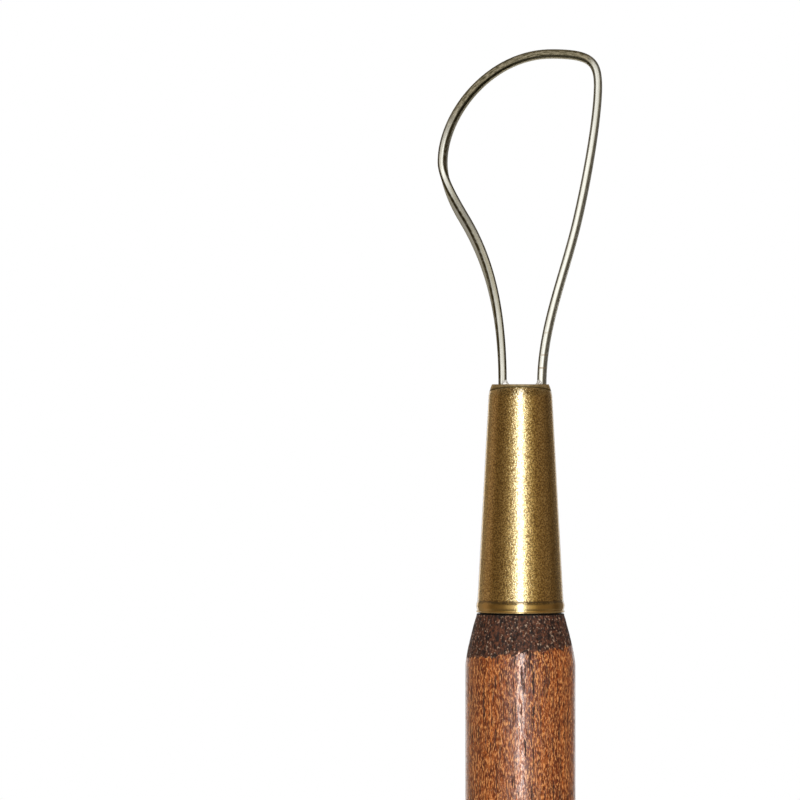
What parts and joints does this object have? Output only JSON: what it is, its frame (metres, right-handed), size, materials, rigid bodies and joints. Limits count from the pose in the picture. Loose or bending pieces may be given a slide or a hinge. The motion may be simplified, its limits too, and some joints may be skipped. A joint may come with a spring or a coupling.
{
  "type": "double-ended wire tool",
  "caption": "Clay trimming tool with a turned wooden handle and a wire loop in a tapered brass ferrule at each end, one narrow and one wide and lopsided.",
  "frame": {"origin": "on the handle's axis, halfway between the two ferrules, where a hand holds the tool", "axes": "+Z along the handle towards the wide loop, with the tool upright; both loops lie in the XZ plane and face -Y, the side that the picture shows; +X is to the right there"},
  "size_m": [0.0143, 0.0094, 0.2031],
  "materials": {
    "wood": "red-brown hardwood, turned, with dark pores and a thin clear varnish, stained dark and left rough on the shoulders",
    "brass": "fine bead-blasted satin with a smoother bright band at the base",
    "steel": "rolled flat wire, polished, with faint plier marks",
    "adhesive": "cured clear epoxy, slightly grey, smooth"
  },
  "bodies": {
    "root": {"handle": "wood", "ferrule_wide_end": "brass", "adhesive_plug_wide_end": "adhesive", "wire_loop_wide_end": "steel", "ferrule_narrow_end": "brass", "adhesive_plug_narrow_end": "adhesive", "wire_loop_narrow_end": "steel"}
  },
  "joints": []
}
